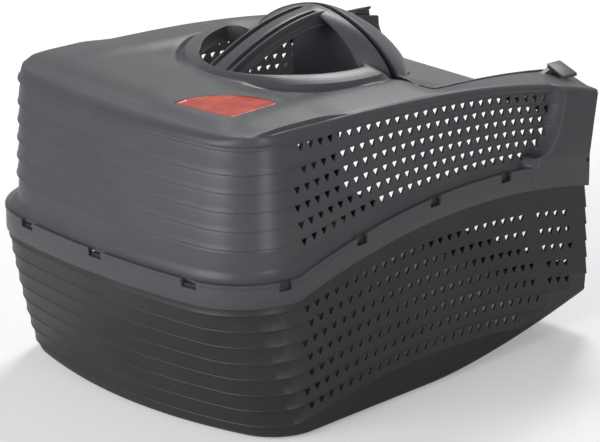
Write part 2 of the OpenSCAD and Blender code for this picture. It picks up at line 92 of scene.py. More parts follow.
HOLE_WIDTH = 9.8
HOLE_HEIGHT = 9.0
HOLE_PITCH = 15.1
HOLE_DROP = 3.6
HOLE_START = 112.0
LOWER_MARGIN = 46.0
PLAIN_FOOT = 31.0
UPPER_ROW_ENDS = (68, 42, 31, 31, 20, 24)
LOWER_ROW_ENDS = (158, 151, 130, 121, 118, 109, 147)
SEAM_HALF = 12.0

RECESS_END = 539.0
RECESS_LEAN = 61.0
RIDGE_HEIGHT = 5.2
RIDGE_FOOT = 0.4
RIDGE_WIDTH = 10.0

RING_X = 277.0
EDGE_Z = 362.5
RIM_Z = 356.5
GUTTER_DEPTH = 4.5
FLANK_WIDTH = 8.0
OPENING_REAR = 193.0
OPENING_END = 311.0
OPENING_WIDTH = 220.0
HOOP_X = 333.0
HOOP_HEIGHT = 52.0
HOOP_BAND = 20.0
HOOP_SPAN = 168.0
HOOP_WIDTH = 230.0
STRIP_WIDTH = 46.0
STRIP_DEPTH = 18.0
STRIP_SINK = 4.0

COVER_X = 356.0
COVER_HALF = 152.0
COVER_DROP = 32.0
HUMP_LENGTH = 134.0
SHOULDER_Y = 130.0
SHOULDER_DIP = 14.0
SHOULDER_RISE = 19.0
RAIL_HEIGHT = 2.0
RIM_DEPTH = 9.0
CURTAIN_HALF = 52.0
CURTAIN_LOW = 298.0
RIB_DEPTH = 10.0
RIB_FOOT = 86.0
RIB_LOW = 331.0
HOOK_LENGTH = 24.0
HOOK_WIDTH = 28.0
HOOK_HEIGHT = 14.0

MOUTH_WIDTH = 376.0
MOUTH_BOTTOM = 72.0
MOUTH_TOP = 250.0

FLAP_RADIUS = 75.0
FLAP_SPREAD = math.radians(49.8)
FLAP_THICKNESS = 2.4
FLAP_X = 82.0
FLAP_Y = 124.0
FLAP_LIFT = 1.2
PAD_Z = 360.3
PAD_FADE = 34.0
PIN_RADIUS = 1.6

WINDOW_WIDTH = 16.0
WINDOW_HEIGHT = 10.0
REAR_WINDOW_WIDTH = 20.0
REAR_WINDOW_HEIGHT = 8.5
WINDOW_DEPTH = 6.0
WINDOW_X = (83, 198, 315, 432)
WINDOW_Y = (-140, 0, 122)

# Columns of points round each level: front, ridge, side, corner and rear
FRONT_COLUMNS = np.arange(7) / 7
RIDGE_COLUMNS = np.linspace(1.4, -1.9, 30)
SIDE_COLUMNS = np.arange(64) / 64
CORNER_COLUMNS = np.arange(24) / 24
REAR_COLUMNS = np.arange(25) / 24
CROSS_COLUMNS = np.arange(1, 14) / 14


def mix(a, b, t):
    return a + (b - a) * t


def limit(t):
    return np.clip(t, 0.0, 1.0)


def smooth(t):
    u = limit(t)
    return u * u * (3 - 2 * u)


# Heights that run along the box
def along(x):
    """0 at the rear corner of the skirt, 1 at the front."""
    return limit((x - SKIRT_RADIUS - 8) / (BOX_LENGTH - SKIRT_RADIUS - 8))


def crease_z(x):
    """Crease round the top: a line plus a steep power of the way along."""
    t = along(x)
    return REAR_HEIGHT - FRONT_FALL * (0.35 * t + 0.65 * t ** 3.2)


def joint_lift(x):
    """Parabola over the side, plus a small rise to the front."""
    t = along(x)
    return 4 * JOINT_RISE * t * (1 - t) + 6 * t


def bottom_z(x):
    """Flat first, then a power of 1.6 up to the front."""
    return BOTTOM_RISE * limit((along(x) - FLAT_SHARE) / (1 - FLAT_SHARE)) ** 1.6


def crown(x, y):
    """Nearly flat middle between shoulders that rise beside the ring and fall outwards by a power of 1.3."""
    side = np.abs(y)
    flat = mix(1.6, 8, smooth((side - 113) / 34) * smooth((x - 60) / 150))
    shoulder = flat * (1 - limit((side - SHOULDER_Y) / (TOP_HALF - SHOULDER_Y)) ** 1.3)
    front = 3 * smooth((x - 250) / 80) * smooth((100 - side) / 60)
    pad_rise = 4.2 * smooth((x - CREASE_X + 2) / 40) * (1 - smooth((x - 150) / 60))
    return mix(0.3, 1, smooth((x - CREASE_X + 4) / 50)) * (shoulder + pad_rise) + front


def dip(x):
    """The shoulders sink beside the hump and rise again towards the front."""
    rise = limit((x - HOOP_X - 52) / (BOX_LENGTH - HOOP_X - 56)) ** 1.2
    return SHOULDER_RISE * rise - SHOULDER_DIP * smooth((x - HOOP_X + 5) / 60)


def top_z(x, y):
    """Top surface: crease plus crown plus the dip, faded towards crease and middle."""
    side = np.abs(y)
    fade = smooth((TOP_HALF - side) / (TOP_HALF - COVER_HALF)) * smooth((side - 90) / 50)
    open_top = crease_z(x) + crown(x, y) + dip(x) * fade
    return mix(open_top, PAD_Z, pad(x, y))


def pad(x, y):
    """1 round the indicator, where the top is level, fading to 0 over a short way."""
    r = np.hypot(x - FLAP_X, y + FLAP_Y)
    return (smooth((FLAP_RADIUS + 5 + PAD_FADE - r) / PAD_FADE) * smooth((x - FLAP_X + 30) / 26)
            * smooth((y + FLAP_Y + 30) / 26))


def ring_share(x):
    """1 round the ring, 0 in front of the hoop's feet."""
    return 1 - smooth((x - OPENING_END - 7) / 30)


def edge_z(x, y):
    """Level inner edge of the ring, let down to the top in front of the hoop."""
    return mix(top_z(x, y), EDGE_Z, ring_share(x))


def rim_z(x, y):
    """Outer edge of the ring's face: level, but never under the top."""
    return mix(top_z(x, y), np.maximum(top_z(x, y) + 0.3, RIM_Z), ring_share(x))


# Outlines and loops
def corner_angle(b, sag, r):
    """Angle at which the bulged rear meets the corner arc, found by repetition."""
    nu = 0.0
    for _ in range(8):
        nu = math.atan(2 * sag * (b - r * (1 - math.sin(nu))) / (b * b))
    return nu


def swell_of(depth, ridge):
    """Side's offset over the ridge's own coordinate: a smooth step with a round ridge just in front of it."""
    return lambda s: depth * smooth((s + 0.85) / 0.95) + ridge * np.exp(-((s - 0.3) / 0.58) ** 2)


def outline(level, ridge_x, swell):
    """Closed plan outline: left side, rear and right side as x, y, then back across the front.

    level is half width, rear x, bulge, corner radius and front x. The rear is a parabola, the
    corner an arc tangent to it and to the side.
    """
    b, rear, sag, r, front = level
    nu = corner_angle(b, sag, r)
    yc = b - r * (1 - math.sin(nu))
    cx = rear + sag * (yc / b) ** 2 + r * math.cos(nu)
    side_x = np.concatenate([mix(front, ridge_x + 1.4 * RIDGE_WIDTH, FRONT_COLUMNS),
                             ridge_x + RIDGE_WIDTH * RIDGE_COLUMNS,
                             mix(ridge_x - 2 * RIDGE_WIDTH, cx, SIDE_COLUMNS)])
    side_y = b + swell((side_x - ridge_x) / RIDGE_WIDTH)
    turn = math.pi / 2 + (math.pi / 2 - nu) * CORNER_COLUMNS
    rear_y = yc * (1 - REAR_COLUMNS)
    half = np.stack([np.concatenate([side_x, cx + r * np.cos(turn), rear + sag * (rear_y / b) ** 2]),
                     np.concatenate([side_y, b - r + r * np.sin(turn), rear_y])], axis=1)
    mirrored = half[-2::-1] * (1, -1)
    cross = np.stack([np.full(len(CROSS_COLUMNS), front),
                      mix(-half[0, 1], half[0, 1], CROSS_COLUMNS)], axis=1)
    return np.concatenate([half, mirrored, cross])


HALF_COUNT = sum(len(c) for c in (FRONT_COLUMNS, RIDGE_COLUMNS, SIDE_COLUMNS, CORNER_COLUMNS, REAR_COLUMNS))
NO_SWELL = swell_of(0.0, 0.0)


def raised(flat, z):
    return np.column_stack([flat, z])


def foot_share(w):
    return float(limit((w - 0.2) / 0.8))


def recess_x(w):
    """Place of the ridge at share w: it leans back towards its foot by a power of 0.45."""
    return RECESS_END - RECESS_LEAN * (1 - foot_share(w) ** 0.45)


def wall_plan(w, out):
    """Level of the wall; the edge rolls over by a quarter ellipse to a crease that is nearly straight."""
    u = float(limit((w - ROLL_START) / (1 - ROLL_START)))
    roll = 1 - math.sqrt(1 - u * u)
    return (mix(HALF_WIDTH - LEDGE, TOP_HALF + 1, w) - SIDE_ROLL * roll + out,
            mix(mix(LEDGE, LEDGE + REAR_LEAN, min(w, 0.9)), CREASE_X, roll) - out,
            mix(REAR_BULGE, 3, roll),
            mix(mix(WALL_RADIUS, TOP_RADIUS, w), CREASE_RADIUS, roll) + min(out, 0),
            mix(SKIRT_FRONT, BOX_LENGTH, foot_share(w)) + min(out, 0))


def wall_z(x, w):
    """Steps fan out between a line under the wall's foot and the crease; across the rear they sit lower."""
    sink = REAR_SINK * smooth((0.9 - w) / 0.1) * smooth(1 - 3 * along(x))
    return mix(FOOT_Z - FAN_DROP + FAN_SHARE * joint_lift(x), crease_z(x), w) - sink


def wall_loop(w, out, down=0.0):
    """Loop of the upper wall at share w, moved out by a step or in by the wall.

    In front of the ridge the panel is plain, so a step's offset fades out there.
    """
    inside = out <= -THIN
    ridge = 0.0 if inside else RIDGE_HEIGHT * mix(RIDGE_FOOT, 1, foot_share(w)) * min(1.0, 5 - 5 * w)
    depth = LEDGE * mix(1, 0.5, foot_share(w)) + 1.6 * (1 - foot_share(w))
    swell = swell_of(depth, ridge)

    def plain_front(s):
        return swell(s) - (0 if inside else out * smooth((s + 1.0) / 0.8))
    b, rear, sag, r, front = wall_plan(w, out)
    level = (b, rear, sag, r, front if inside else wall_plan(w, 0)[4])
    flat = outline(level, recess_x(w) + (2 if inside else 0), plain_front)
    return raised(flat, wall_z(flat[:, 0], w) - down)


def foot_loop(out, up=0.0):
    flat = outline(wall_plan(0, out), recess_x(0), swell_of(LEDGE, RIDGE_FOOT * RIDGE_HEIGHT))
    return raised(flat, FOOT_Z + joint_lift(flat[:, 0]) + up)


def ledge_loop(out, height, inset=0.0, plain=None):
    """Ledge and skirt: out runs from 0 at the wall's foot to the ledge's width at the skirt.

    plain is the height in front of the ridge, where the ledge has run out and the panel is flat.
    """
    depth = LEDGE - out
    plan = (HALF_WIDTH - LEDGE + out - inset, LEDGE - out + inset, REAR_BULGE,
            mix(WALL_RADIUS, SKIRT_RADIUS, out / LEDGE) - inset, SKIRT_FRONT - inset)
    flat = outline(plan, recess_x(0), swell_of(depth, RIDGE_FOOT * RIDGE_HEIGHT * min(1.0, max(depth, 0) / 4)))
    level = height if plain is None else mix(height, plain, smooth((flat[:, 0] - recess_x(0) + 8) / 10))
    return raised(flat, JOINT_HEIGHT + level + joint_lift(flat[:, 0]))


# Top: opening, ring and the surface out to the crease
FOOT_ANGLE = math.atan2(OPENING_WIDTH / 2, OPENING_END - RING_X)


def turned(a, radius):
    """Point at each signed angle round the ring's middle."""
    return np.stack([RING_X + radius * np.cos(a), radius * np.sin(a)], axis=1)


def opening_points(flat, grow):
    """Edge of the opening in the direction of each point: round at the rear, straight feet at the hoop.

    The radius is even over the rear and grows by a power of 1.4 towards the hoop.
    """
    signed = np.arctan2(flat[:, 1], flat[:, 0] - RING_X)
    a = np.abs(signed)
    s = np.where(flat[:, 1] < 0, -1.0, 1.0)
    inner = FOOT_ANGLE - math.radians(20)
    f = limit((a - inner) / math.radians(20))
    g = (inner - a) / math.radians(1)
    even = math.radians(126)
    foot_radius = math.hypot(OPENING_WIDTH / 2, OPENING_END - RING_X)
    share = limit((even - a) / (even - FOOT_ANGLE)) ** 1.4
    rear = turned(signed, mix(RING_X - OPENING_REAR, foot_radius, share) + grow)
    foot = np.stack([mix(HOOP_X, OPENING_END - grow, f),
                     s * (mix(HOOP_SPAN / 2, OPENING_WIDTH / 2, f) + grow)], axis=1)
    front = np.stack([mix(HOOP_X, COVER_X + 8, limit(g / 12)) + grow * limit(g / 4),
                      s * (HOOP_SPAN / 2 + grow) * a / inner], axis=1)
    return np.where((a > FOOT_ANGLE)[:, None], rear, np.where((a > inner)[:, None], foot, front))


def rim_points(flat, grow=0.0):
    """Rim of the ring's face: 93 mm at the rear, wider to the sides by a power of 1.45."""
    a = np.arctan2(flat[:, 1], flat[:, 0] - RING_X)
    spread = limit((math.radians(150) - np.abs(a)) / math.radians(76))
    return turned(a, 93 + 43 * spread ** 1.45 + grow)


def gutter(flat):
    """Depth of the hollow beside the ring's foot: half a sine between 80 and 155 degrees on each side."""
    a = np.abs(np.arctan2(flat[:, 1], flat[:, 0] - RING_X))
    return GUTTER_DEPTH * np.sin(np.pi * limit((math.radians(155) - a) / math.radians(75)))


def on_top(flat, up):
    return raised(flat, top_z(flat[:, 0], flat[:, 1]) + up)


def on_ring(flat, share, up=0.0):
    """share runs from 0 at the ring's inner edge to 1 at the rim."""
    return raised(flat, mix(edge_z(flat[:, 0], flat[:, 1]), rim_z(flat[:, 0], flat[:, 1]), share) + up)


def on_flank(flat, share):
    """share runs from 0 at the rim to 1 in the gutter, hollow like a quarter circle."""
    x, y = flat[:, 0], flat[:, 1]
    return raised(flat, mix(rim_z(x, y), top_z(x, y) - gutter(flat), math.sin(math.pi / 2 * share)))


def upper_rows():
    """All loops of the upper shell from the opening over the top, down the wall and back inside."""
    plain = outline(wall_plan(1, 0), recess_x(1), NO_SWELL)
    edge = opening_points(plain, 0)
    rim = rim_points(plain)
    base = rim_points(plain, FLANK_WIDTH)
    rows = [on_top(edge, -WALL), on_ring(edge, 0, -1.4), on_ring(mix(edge, rim, 0.015), 0, -0.5),
            on_ring(mix(edge, rim, 0.05), 0.03, -0.1)]
    rows += [on_ring(mix(edge, rim, t), t, 0.9 * math.sin(math.pi * t))
             for t in (0.12, 0.25, 0.4, 0.55, 0.7, 0.84, 0.94)]
    rows += [on_ring(rim, 1)]
    rows += [on_flank(mix(rim, base, t), t) for t in (0.08, 0.2, 0.36, 0.52, 0.68, 0.84)]
    rows += [on_top(mix(base, plain, t), -share * gutter(base)) for t, share in
             ((0.0, 1.0), (0.02, 0.6), (0.04, 0.12), (0.06, 0.0))]
    rows += [on_top(mix(base, plain, t), 0.0)
             for t in (0.12, 0.2, 0.28, 0.36, 0.44, 0.52, 0.6, 0.68, 0.76, 0.83, 0.89, 0.94, 0.98)]
    rows += [wall_loop(1, 0)]
    rows += [wall_loop(mix(ROLL_START, 1, math.sin(u)), 0) for u in np.radians((78, 66, 54, 42, 30, 18, 8))]
    lip = ((0.014, 0.9), (0.006, 1.12), (0.0, 1.14), (-0.003, 0.8), (-0.006, 0.2))
    groove = ((-0.009, -1.0), (-0.014, -1.0), (-0.02, -0.3), (-0.027, 0.0))
    for k in range(UPPER_STEPS - 1, -1, -1):
        share = UPPER_FIRST + k * UPPER_PITCH
        rows += [wall_loop(share + up, STEP_DEPTH * out) for up, out in lip]
        rows += [wall_loop(share + up, GROOVE_DEPTH * out) for up, out in groove]
        if k:
            rows += [wall_loop(share - UPPER_PITCH * t, STEP_DEPTH * 0.9 * t) for t in (0.45, 0.7)]
    rows += [wall_loop(w, 0) for w in (0.243, 0.231)]
    rows += [foot_loop(0, 1.2), foot_loop(0, -1.0)]
    trough = ((0.08, 7.4), (0.17, 4.0), (0.3, 1.3), (0.45, -0.4), (0.6, -0.9), (0.72, -0.6), (0.8, 0.2),
              (0.86, 0.9), (0.91, 1.1), (0.96, 0.8), (1.0, 0.0), (1.0, -2.6), (0.985, -3.2), (0.93, -3.6),
              (0.93, -4.4))
    even = np.linspace(7.4, -3.6, len(trough))
    rows += [ledge_loop(LEDGE * out, SKIRT_HEIGHT + up, plain=SKIRT_HEIGHT + level)
             for (out, up), level in zip(trough, even)]
    rows += [ledge_loop(LEDGE - LIP, up) for up in (SKIRT_HEIGHT - 4, 14, 1.0)]
    rows += [ledge_loop(LEDGE - LIP - 0.4, 0.1), ledge_loop(LEDGE - LIP, 0, WALL),
             ledge_loop(LEDGE - LIP, SKIRT_HEIGHT - WALL - 1, WALL),
             ledge_loop(0, SKIRT_HEIGHT - WALL - 0.5, WALL)]
    rows += [wall_loop(w, -THIN) for w in (0.21, 0.3, 0.45, 0.65, 0.9)]
    rows += [wall_loop(0.985, -WALL, 1)]
    rows += [on_top(mix(base, plain, t), -1.4 * WALL) for t in (0.78, 0.6, 0.42, 0.2)]
    rows += [on_top(rim_points(plain, FLANK_WIDTH - THIN), -WALL - gutter(base)),
             on_ring(rim_points(plain, -3), 1, -WALL)]
    inner_edge = opening_points(plain, WALL)
    rows += [on_ring(inner_edge, 0, -WALL - 1), on_top(inner_edge, -WALL - 0.2)]
    return np.array(rows)


# Lower shell
def lower_plan(v, out, fore):
    return (mix(HALF_WIDTH - SIDE_LEAN, HALF_WIDTH - LIP - WALL - CLEARANCE, v) + out,
            mix(FOOT_LEAN, LIP + WALL + CLEARANCE, v ** 0.8) - out,
            mix(FOOT_BULGE, REAR_BULGE, v),
            mix(FOOT_RADIUS, SKIRT_RADIUS - WALL - CLEARANCE, v) + out,
            mix(FOOT_FRONT, SKIRT_FRONT - WALL - CLEARANCE, fore) + min(out, 0))


def lower_z(x, v):
    return mix(bottom_z(x), JOINT_HEIGHT + joint_lift(x), v)


def lower_loop(v, out, up=0.0):
    """Loop of the lower shell at share v, from 0 at the ground to 1 at the joint."""
    flat = outline(lower_plan(v, out, v), RECESS_END, NO_SWELL)
    return raised(flat, lower_z(flat[:, 0], v) + up)


def free_line(x, k):
    """Line of step k: the joint's arch, a fixed distance lower, falling a little to the front."""
    t = along(x)
    return (JOINT_HEIGHT - LOWER_FIRST - k * LOWER_PITCH
            + LOWER_SHARE * 4 * JOINT_RISE * t * (1 - t) - (LOWER_FALL + k) * t)


def line_z(x, k):
    """The free line, held above the rising bottom."""
    return np.maximum(free_line(x, k), lower_z(x, 0.085 + 0.03 * (LOWER_STEPS - 1 - k)))


def line_loop(k, up, out):
    low = bottom_z(BOX_LENGTH)
    fore = (line_z(BOX_LENGTH, k) - low) / (lower_z(BOX_LENGTH, 1) - low)
    plan = lower_plan(free_line(0.0, k) / JOINT_HEIGHT, out, fore)
    flat = outline(plan, RECESS_END, NO_SWELL)
    held = smooth((line_z(flat[:, 0], k) - free_line(flat[:, 0], k)) / 6)
    flat[:, 1] -= np.sign(flat[:, 1]) * max(out, 0) * held * (np.abs(flat[:, 1]) > 150)
    return raised(flat, line_z(flat[:, 0], k) + up)


def lower_rows():
    """All loops of the lower shell from the inside of its bottom over the rim and down the outside."""
    rim = SKIRT_HEIGHT - WALL - 1.5
    rows = [lower_loop(0, -14, WALL), lower_loop(0.03, -WALL - 3, WALL), lower_loop(0.09, -THIN),
            lower_loop(0.5, -THIN), lower_loop(0.93, -THIN), lower_loop(1, -WALL), lower_loop(1, -WALL, rim),
            lower_loop(1, 0, rim),
            lower_loop(1, 0), lower_loop(0.985, 0.15)]
    lip = ((1.5, 0.9), (0.7, 1.12), (-0.1, 1.1), (-0.7, 0.75), (-1.3, 0.2), (-2.0, 0.0))
    for k in range(LOWER_STEPS):
        rows += [line_loop(k, up, STEP_DEPTH * out) for up, out in lip]
    rows += [lower_loop(0.05, 0), lower_loop(0.04, -0.5), lower_loop(0.028, -1.8), lower_loop(0.016, -3.8),
             lower_loop(0.007, -6.6), lower_loop(0.002, -9.5), lower_loop(0, -12.5)]
    return np.array(rows)


# Meshes
def piece_of(name, points, faces):
    """Object from points in millimetres and lists of faces, moved to the shared frame in metres."""
    mesh = bpy.data.meshes.new(name)
    mesh.from_pydata((points - (MIDDLE_X, 0, 0)) * 0.001, [], faces)
    piece = bpy.data.objects.new(name, mesh)
    bpy.context.scene.collection.objects.link(piece)
    return piece


def point_outwards(piece, merge=0.0):
    shape = bmesh.new()
    shape.from_mesh(piece.data)
    if merge:
        bmesh.ops.remove_doubles(shape, verts=shape.verts, dist=merge)
    bmesh.ops.recalc_face_normals(shape, faces=shape.faces)
    shape.to_mesh(piece.data)
    shape.free()
    return piece


def band_faces(m, n, wrap_rows, wrap_columns):
    """Quads between neighbouring rows and columns of an m by n grid."""
    i = np.arange(m if wrap_rows else m - 1)[:, None]
    j = np.arange(n if wrap_columns else n - 1)[None, :]
    a = i * n + j
    b = i * n + (j + 1) % n
    c = ((i + 1) % m) * n + (j + 1) % n
    d = ((i + 1) % m) * n + j
    return np.stack([a, b, c, d], axis=-1).reshape(-1, 4).tolist()


def ring_shell(name, rows):
    """Closed ring-like shell: rows of closed loops, the last joined to the first."""
    m, n, _ = rows.shape
    return point_outwards(piece_of(name, rows.reshape(-1, 3), band_faces(m, n, True, True)))


def cross_faces(start):
    """Faces that close a loop from side to side, each place with its mirror image."""
    last = 2 * HALF_COUNT - 2
    i = np.arange(1, HALF_COUNT - 2)
    quads = np.stack([i, i + 1, last - i - 1, last - i], axis=1) + start
    tip = [start + HALF_COUNT - 2, start + HALF_COUNT - 1, start + HALF_COUNT]
    n = last + 1 + len(CROSS_COLUMNS)
    front = [start + 1, start + last - 1] + [start + v for v in range(last, n)] + [start]
    return quads.tolist() + [tip, front]


def cup_shell(name, rows):
    """Closed cup: rows of closed loops, closed across the first and the last."""
    m, n, _ = rows.shape
    faces = band_faces(m, n, False, True) + cross_faces(0) + cross_faces((m - 1) * n)
    return point_outwards(piece_of(name, rows.reshape(-1, 3), faces))


def tube_shell(name, rows):
    """Closed section carried through rows, with both ends closed by one face each."""
    m, n, _ = rows.shape
    faces = band_faces(m, n, False, True) + [list(range(n)), list(range((m - 1) * n, m * n))]
    return point_outwards(piece_of(name, rows.reshape(-1, 3), faces))


def prisms(name, section, places, axis_from, axis_to):
    """Prisms along Y of one section, x and z, at many places, as one mesh."""
    count, n = len(places), len(section)
    flat = (places[:, None, :] + section[None, :, :]).reshape(-1, 2)
    ends = [np.column_stack([flat[:, 0], np.full(len(flat), y), flat[:, 1]]) for y in (axis_from, axis_to)]
    points = np.concatenate(ends)
    base = (np.arange(count) * n)[:, None]
    j = np.arange(n)[None, :]
    a = base + j
    b = base + (j + 1) % n
    sides = np.stack([a, b, b + count * n, a + count * n], axis=-1).reshape(-1, 4).tolist()
    caps = (base + j).tolist() + (base + j + count * n).tolist()
    return point_outwards(piece_of(name, points, sides + caps))


def block(name, low, high):
    corners = np.array([[x, y, z] for x in (low[0], high[0]) for y in (low[1], high[1])
                        for z in (low[2], high[2])], dtype=float)
    faces = [[0, 1, 3, 2], [4, 6, 7, 5], [0, 4, 5, 1], [2, 3, 7, 6], [0, 2, 6, 4], [1, 5, 7, 3]]
    return point_outwards(piece_of(name, corners, faces))


def upright(name, flat, low, high):
    """Prism of a plan outline between two heights."""
    n = len(flat)
    points = np.concatenate([raised(flat, np.full(n, low)), raised(flat, np.full(n, high))])
    faces = band_faces(2, n, False, True) + [list(range(n)), list(range(n, 2 * n))]
    return point_outwards(piece_of(name, points, faces))


def lengthwise(name, flat, low, high):
    """Prism of an outline of y and z, carried along X."""
    n = len(flat)
    ends = [np.column_stack([np.full(n, x), flat]) for x in (low, high)]
    faces = band_faces(2, n, False, True) + [list(range(n)), list(range(n, 2 * n))]
    return point_outwards(piece_of(name, np.concatenate(ends), faces))


def combine(piece, other, operation="DIFFERENCE"):
    """Boolean of two closed pieces, applied at once; the other piece is used up."""
    step = piece.modifiers.new("combine", "BOOLEAN")
    step.operation = operation
    step.solver = "MANIFOLD"
    step.object = other
    done = bpy.data.meshes.new_from_object(piece.evaluated_get(bpy.context.evaluated_depsgraph_get()))
    done.name = piece.name
    piece.modifiers.clear()
    piece.data = done
    bpy.data.objects.remove(other)
    return piece


def shade(piece, degrees=30):
    piece.data.shade_smooth()
    piece.data.set_sharp_from_angle(angle=math.radians(degrees))
    return piece


def rounded_corners(corners, radius, steps=4):
    """Outline with each corner replaced by an arc of the given radius."""
    corners = np.asarray(corners, dtype=float)
    before = np.roll(corners, 1, axis=0) - corners
    after = np.roll(corners, -1, axis=0) - corners
    before /= np.linalg.norm(before, axis=1)[:, None]
    after /= np.linalg.norm(after, axis=1)[:, None]
    half = np.arccos(np.clip((before * after).sum(axis=1), -1, 1)) / 2
    reach = radius / np.tan(half)
    middle = before + after
    middle /= np.linalg.norm(middle, axis=1)[:, None]
    centre = corners + middle * (radius / np.sin(half))[:, None]
    start = corners + before * reach[:, None] - centre
    end = corners + after * reach[:, None] - centre
    t = np.linspace(0, 1, steps)[None, :, None]
    arc = start[:, None, :] * (1 - t) + end[:, None, :] * t
    arc *= radius / np.linalg.norm(arc, axis=2)[:, :, None]
    return (centre[:, None, :] + arc).reshape(-1, 2)


# Perforation
HOLE_OUTLINE = rounded_corners([(-HOLE_WIDTH / 2, 0), (0, -HOLE_HEIGHT), (HOLE_WIDTH / 2, 0)], 1.1, 4)


def upper_hole_places():
    places = []
    for k, end in enumerate(UPPER_ROW_ENDS):
        x = np.arange(RECESS_END - end, HOLE_START, -HOLE_PITCH)
        places.append(np.stack([x, wall_z(x, UPPER_FIRST + k * UPPER_PITCH) - HOLE_DROP], axis=1))
    return np.concatenate(places)


def lower_hole_places():
    places = []
    for k, end in enumerate(LOWER_ROW_ENDS):
        x = BOX_LENGTH - end - HOLE_PITCH * np.arange(-6, 27)
        z = free_line(x, k) - HOLE_DROP
        seam = RECESS_END - 59 + 0.28 * (JOINT_HEIGHT - z)
        keep = ((x >= HOLE_START) & (x <= BOX_LENGTH - LOWER_MARGIN)
                & (z > bottom_z(x) + PLAIN_FOOT) & (np.abs(x - seam) > SEAM_HALF))
        places.append(np.stack([x, z], axis=1)[keep])
    return np.concatenate(places)


# Hoop, hand strip and hooks
HOOP_TOP = float(crease_z(HOOP_X)) + 8 + HOOP_HEIGHT


def arch_points(width, base, rise, a):
    """Superellipse arch: powers of 1.25 of the sine and the cosine."""
    return (width / 2 * np.sign(np.sin(a)) * np.abs(np.sin(a)) ** 1.25,
            base + rise * np.maximum(0, np.cos(a)) ** 1.25)


def make_hoop():
    """Band whose closed section is carried round the arch; it widens towards the front."""
    a = np.radians(np.linspace(-90, 90, 97))
    rear = float(top_z(HOOP_X, HOOP_SPAN / 2)) - 4
    front = float(top_z(HOOP_X + HOOP_BAND, HOOP_WIDTH / 2)) - 4
    section = [(0.0, 0.9), (0.06, 0.25), (0.14, -0.1), (0.3, -0.7), (0.5, -1.0), (0.7, -0.7), (0.88, 0.0),
               (0.96, 0.3), (1.0, 0.9), (1.0, WALL), (0.5, WALL - 1), (0.0, WALL)]
    columns = []
    for t, inset in section:
        width = mix(HOOP_SPAN, HOOP_WIDTH, t ** 1.25) - 2 * inset
        base = mix(rear, front, t)
        y, z = arch_points(width, base, HOOP_TOP - base - inset, a)
        columns.append(np.stack([np.full(len(a), HOOP_X + HOOP_BAND * t), y, z], axis=1))
    return tube_shell("hoop", np.array(columns).transpose(1, 0, 2))


def make_strip():
    """Grooved section carried along a quarter sine from the ring up to the hoop."""
    t = np.linspace(0, 1, 61)
    rear = EDGE_Z - STRIP_SINK
    x = mix(OPENING_REAR - 4, HOOP_X + HOOP_BAND - 1, t)
    crest = mix(rear, HOOP_TOP, np.sin(np.pi / 2 * np.minimum(1, t / 0.9)) ** 0.85) - 1.4 * smooth((t - 0.85) / 0.15)
    half = np.array([(0, 0), (3.5, 0), (7.0, 0.05), (8.0, 0.5), (8.4, 1.6), (8.8, 5.0), (9.6, 6.4), (13.4, 6.4),
                     (14.4, 5.6), (14.9, 1.6), (15.3, 0.5), (16.0, 0.1), (17.0, 0.1), (17.7, 0.5), (18.0, 1.6),
                     (17.9, 6), (17.7, 11), (18.4, 12.6), (20.4, 12.9), (22.2, 13.2), (23, 14.0), (23.0, 15.2),
                     (22.2, 16.0), (20.0, 16.0), (17.4, 15.4), (16.4, 13), (16.0, 10.4), (14.4, 9.2), (8, 9.2),
                     (0, 9.2)])
    section = np.concatenate([half, (half * (-1, 1))[-2:0:-1]])
    depth = (1 - 0.6 * limit(1 - t * 6))[:, None] * section[:, 1] * STRIP_DEPTH / 18
    points = np.stack([np.repeat(x[:, None], len(section), axis=1),
                       np.repeat(section[None, :, 0] * STRIP_WIDTH / 46, len(t), axis=0),
                       crest[:, None] - depth], axis=2)
    return tube_shell("hand_strip", points)


def make_hook(side):
    """Slanting plate with rounded outline on a tapering web."""
    x0 = BOX_LENGTH - 10 - HOOK_LENGTH
    x1 = BOX_LENGTH - 10
    y0 = COVER_HALF + 1
    y1 = y0 + HOOK_WIDTH
    z0 = float(top_z(x1, y0)) + HOOK_HEIGHT
    flat = rounded_corners([(x0, y0), (x0, y1), (x1, y1), (x1, y0)], 2.2, 5)

    def plate(inset, down):
        middle = np.array([(x0 + x1) / 2, (y0 + y1) / 2])
        size = np.array([HOOK_LENGTH / 2, HOOK_WIDTH / 2])
        p = middle + (flat - middle) * (size - inset) / size
        z = z0 - 0.35 * (p[:, 1] - y0) - (p[:, 0] - x0) / HOOK_LENGTH - down
        return np.column_stack([p[:, 0], side * p[:, 1], z])
    piece = tube_shell("hook", np.array([plate(0.8, 0), plate(0.25, 0.25), plate(0, 0.8), plate(0, 2.8),
                                         plate(0.4, 3.5)]))
    corners = []
    for x_top, x_low in ((x0 + 3, x0 - 14), (x1 - 3, x1 - 1)):
        for y in (y0 + 2, y0 + 7):
            top = z0 - 0.35 * (y - y0) - 2
            corners += [[x_top, side * y, top], [x_low, side * y, float(top_z(x_low, y)) - 1]]
    faces = [[0, 1, 3, 2], [4, 6, 7, 5], [0, 4, 5, 1], [2, 3, 7, 6], [0, 2, 6, 4], [1, 5, 7, 3]]
    web = point_outwards(piece_of("web", np.array(corners), faces))
    return combine(piece, web, "UNION")


# Front cover
def floor_z(x):
    share = limit((x - COVER_X) / (BOX_LENGTH - COVER_X))
    return mix(crease_z(COVER_X) + 4, crease_z(BOX_LENGTH) - COVER_DROP, share)


def cover_edge(x):
    return top_z(x, COVER_HALF) - 0.6


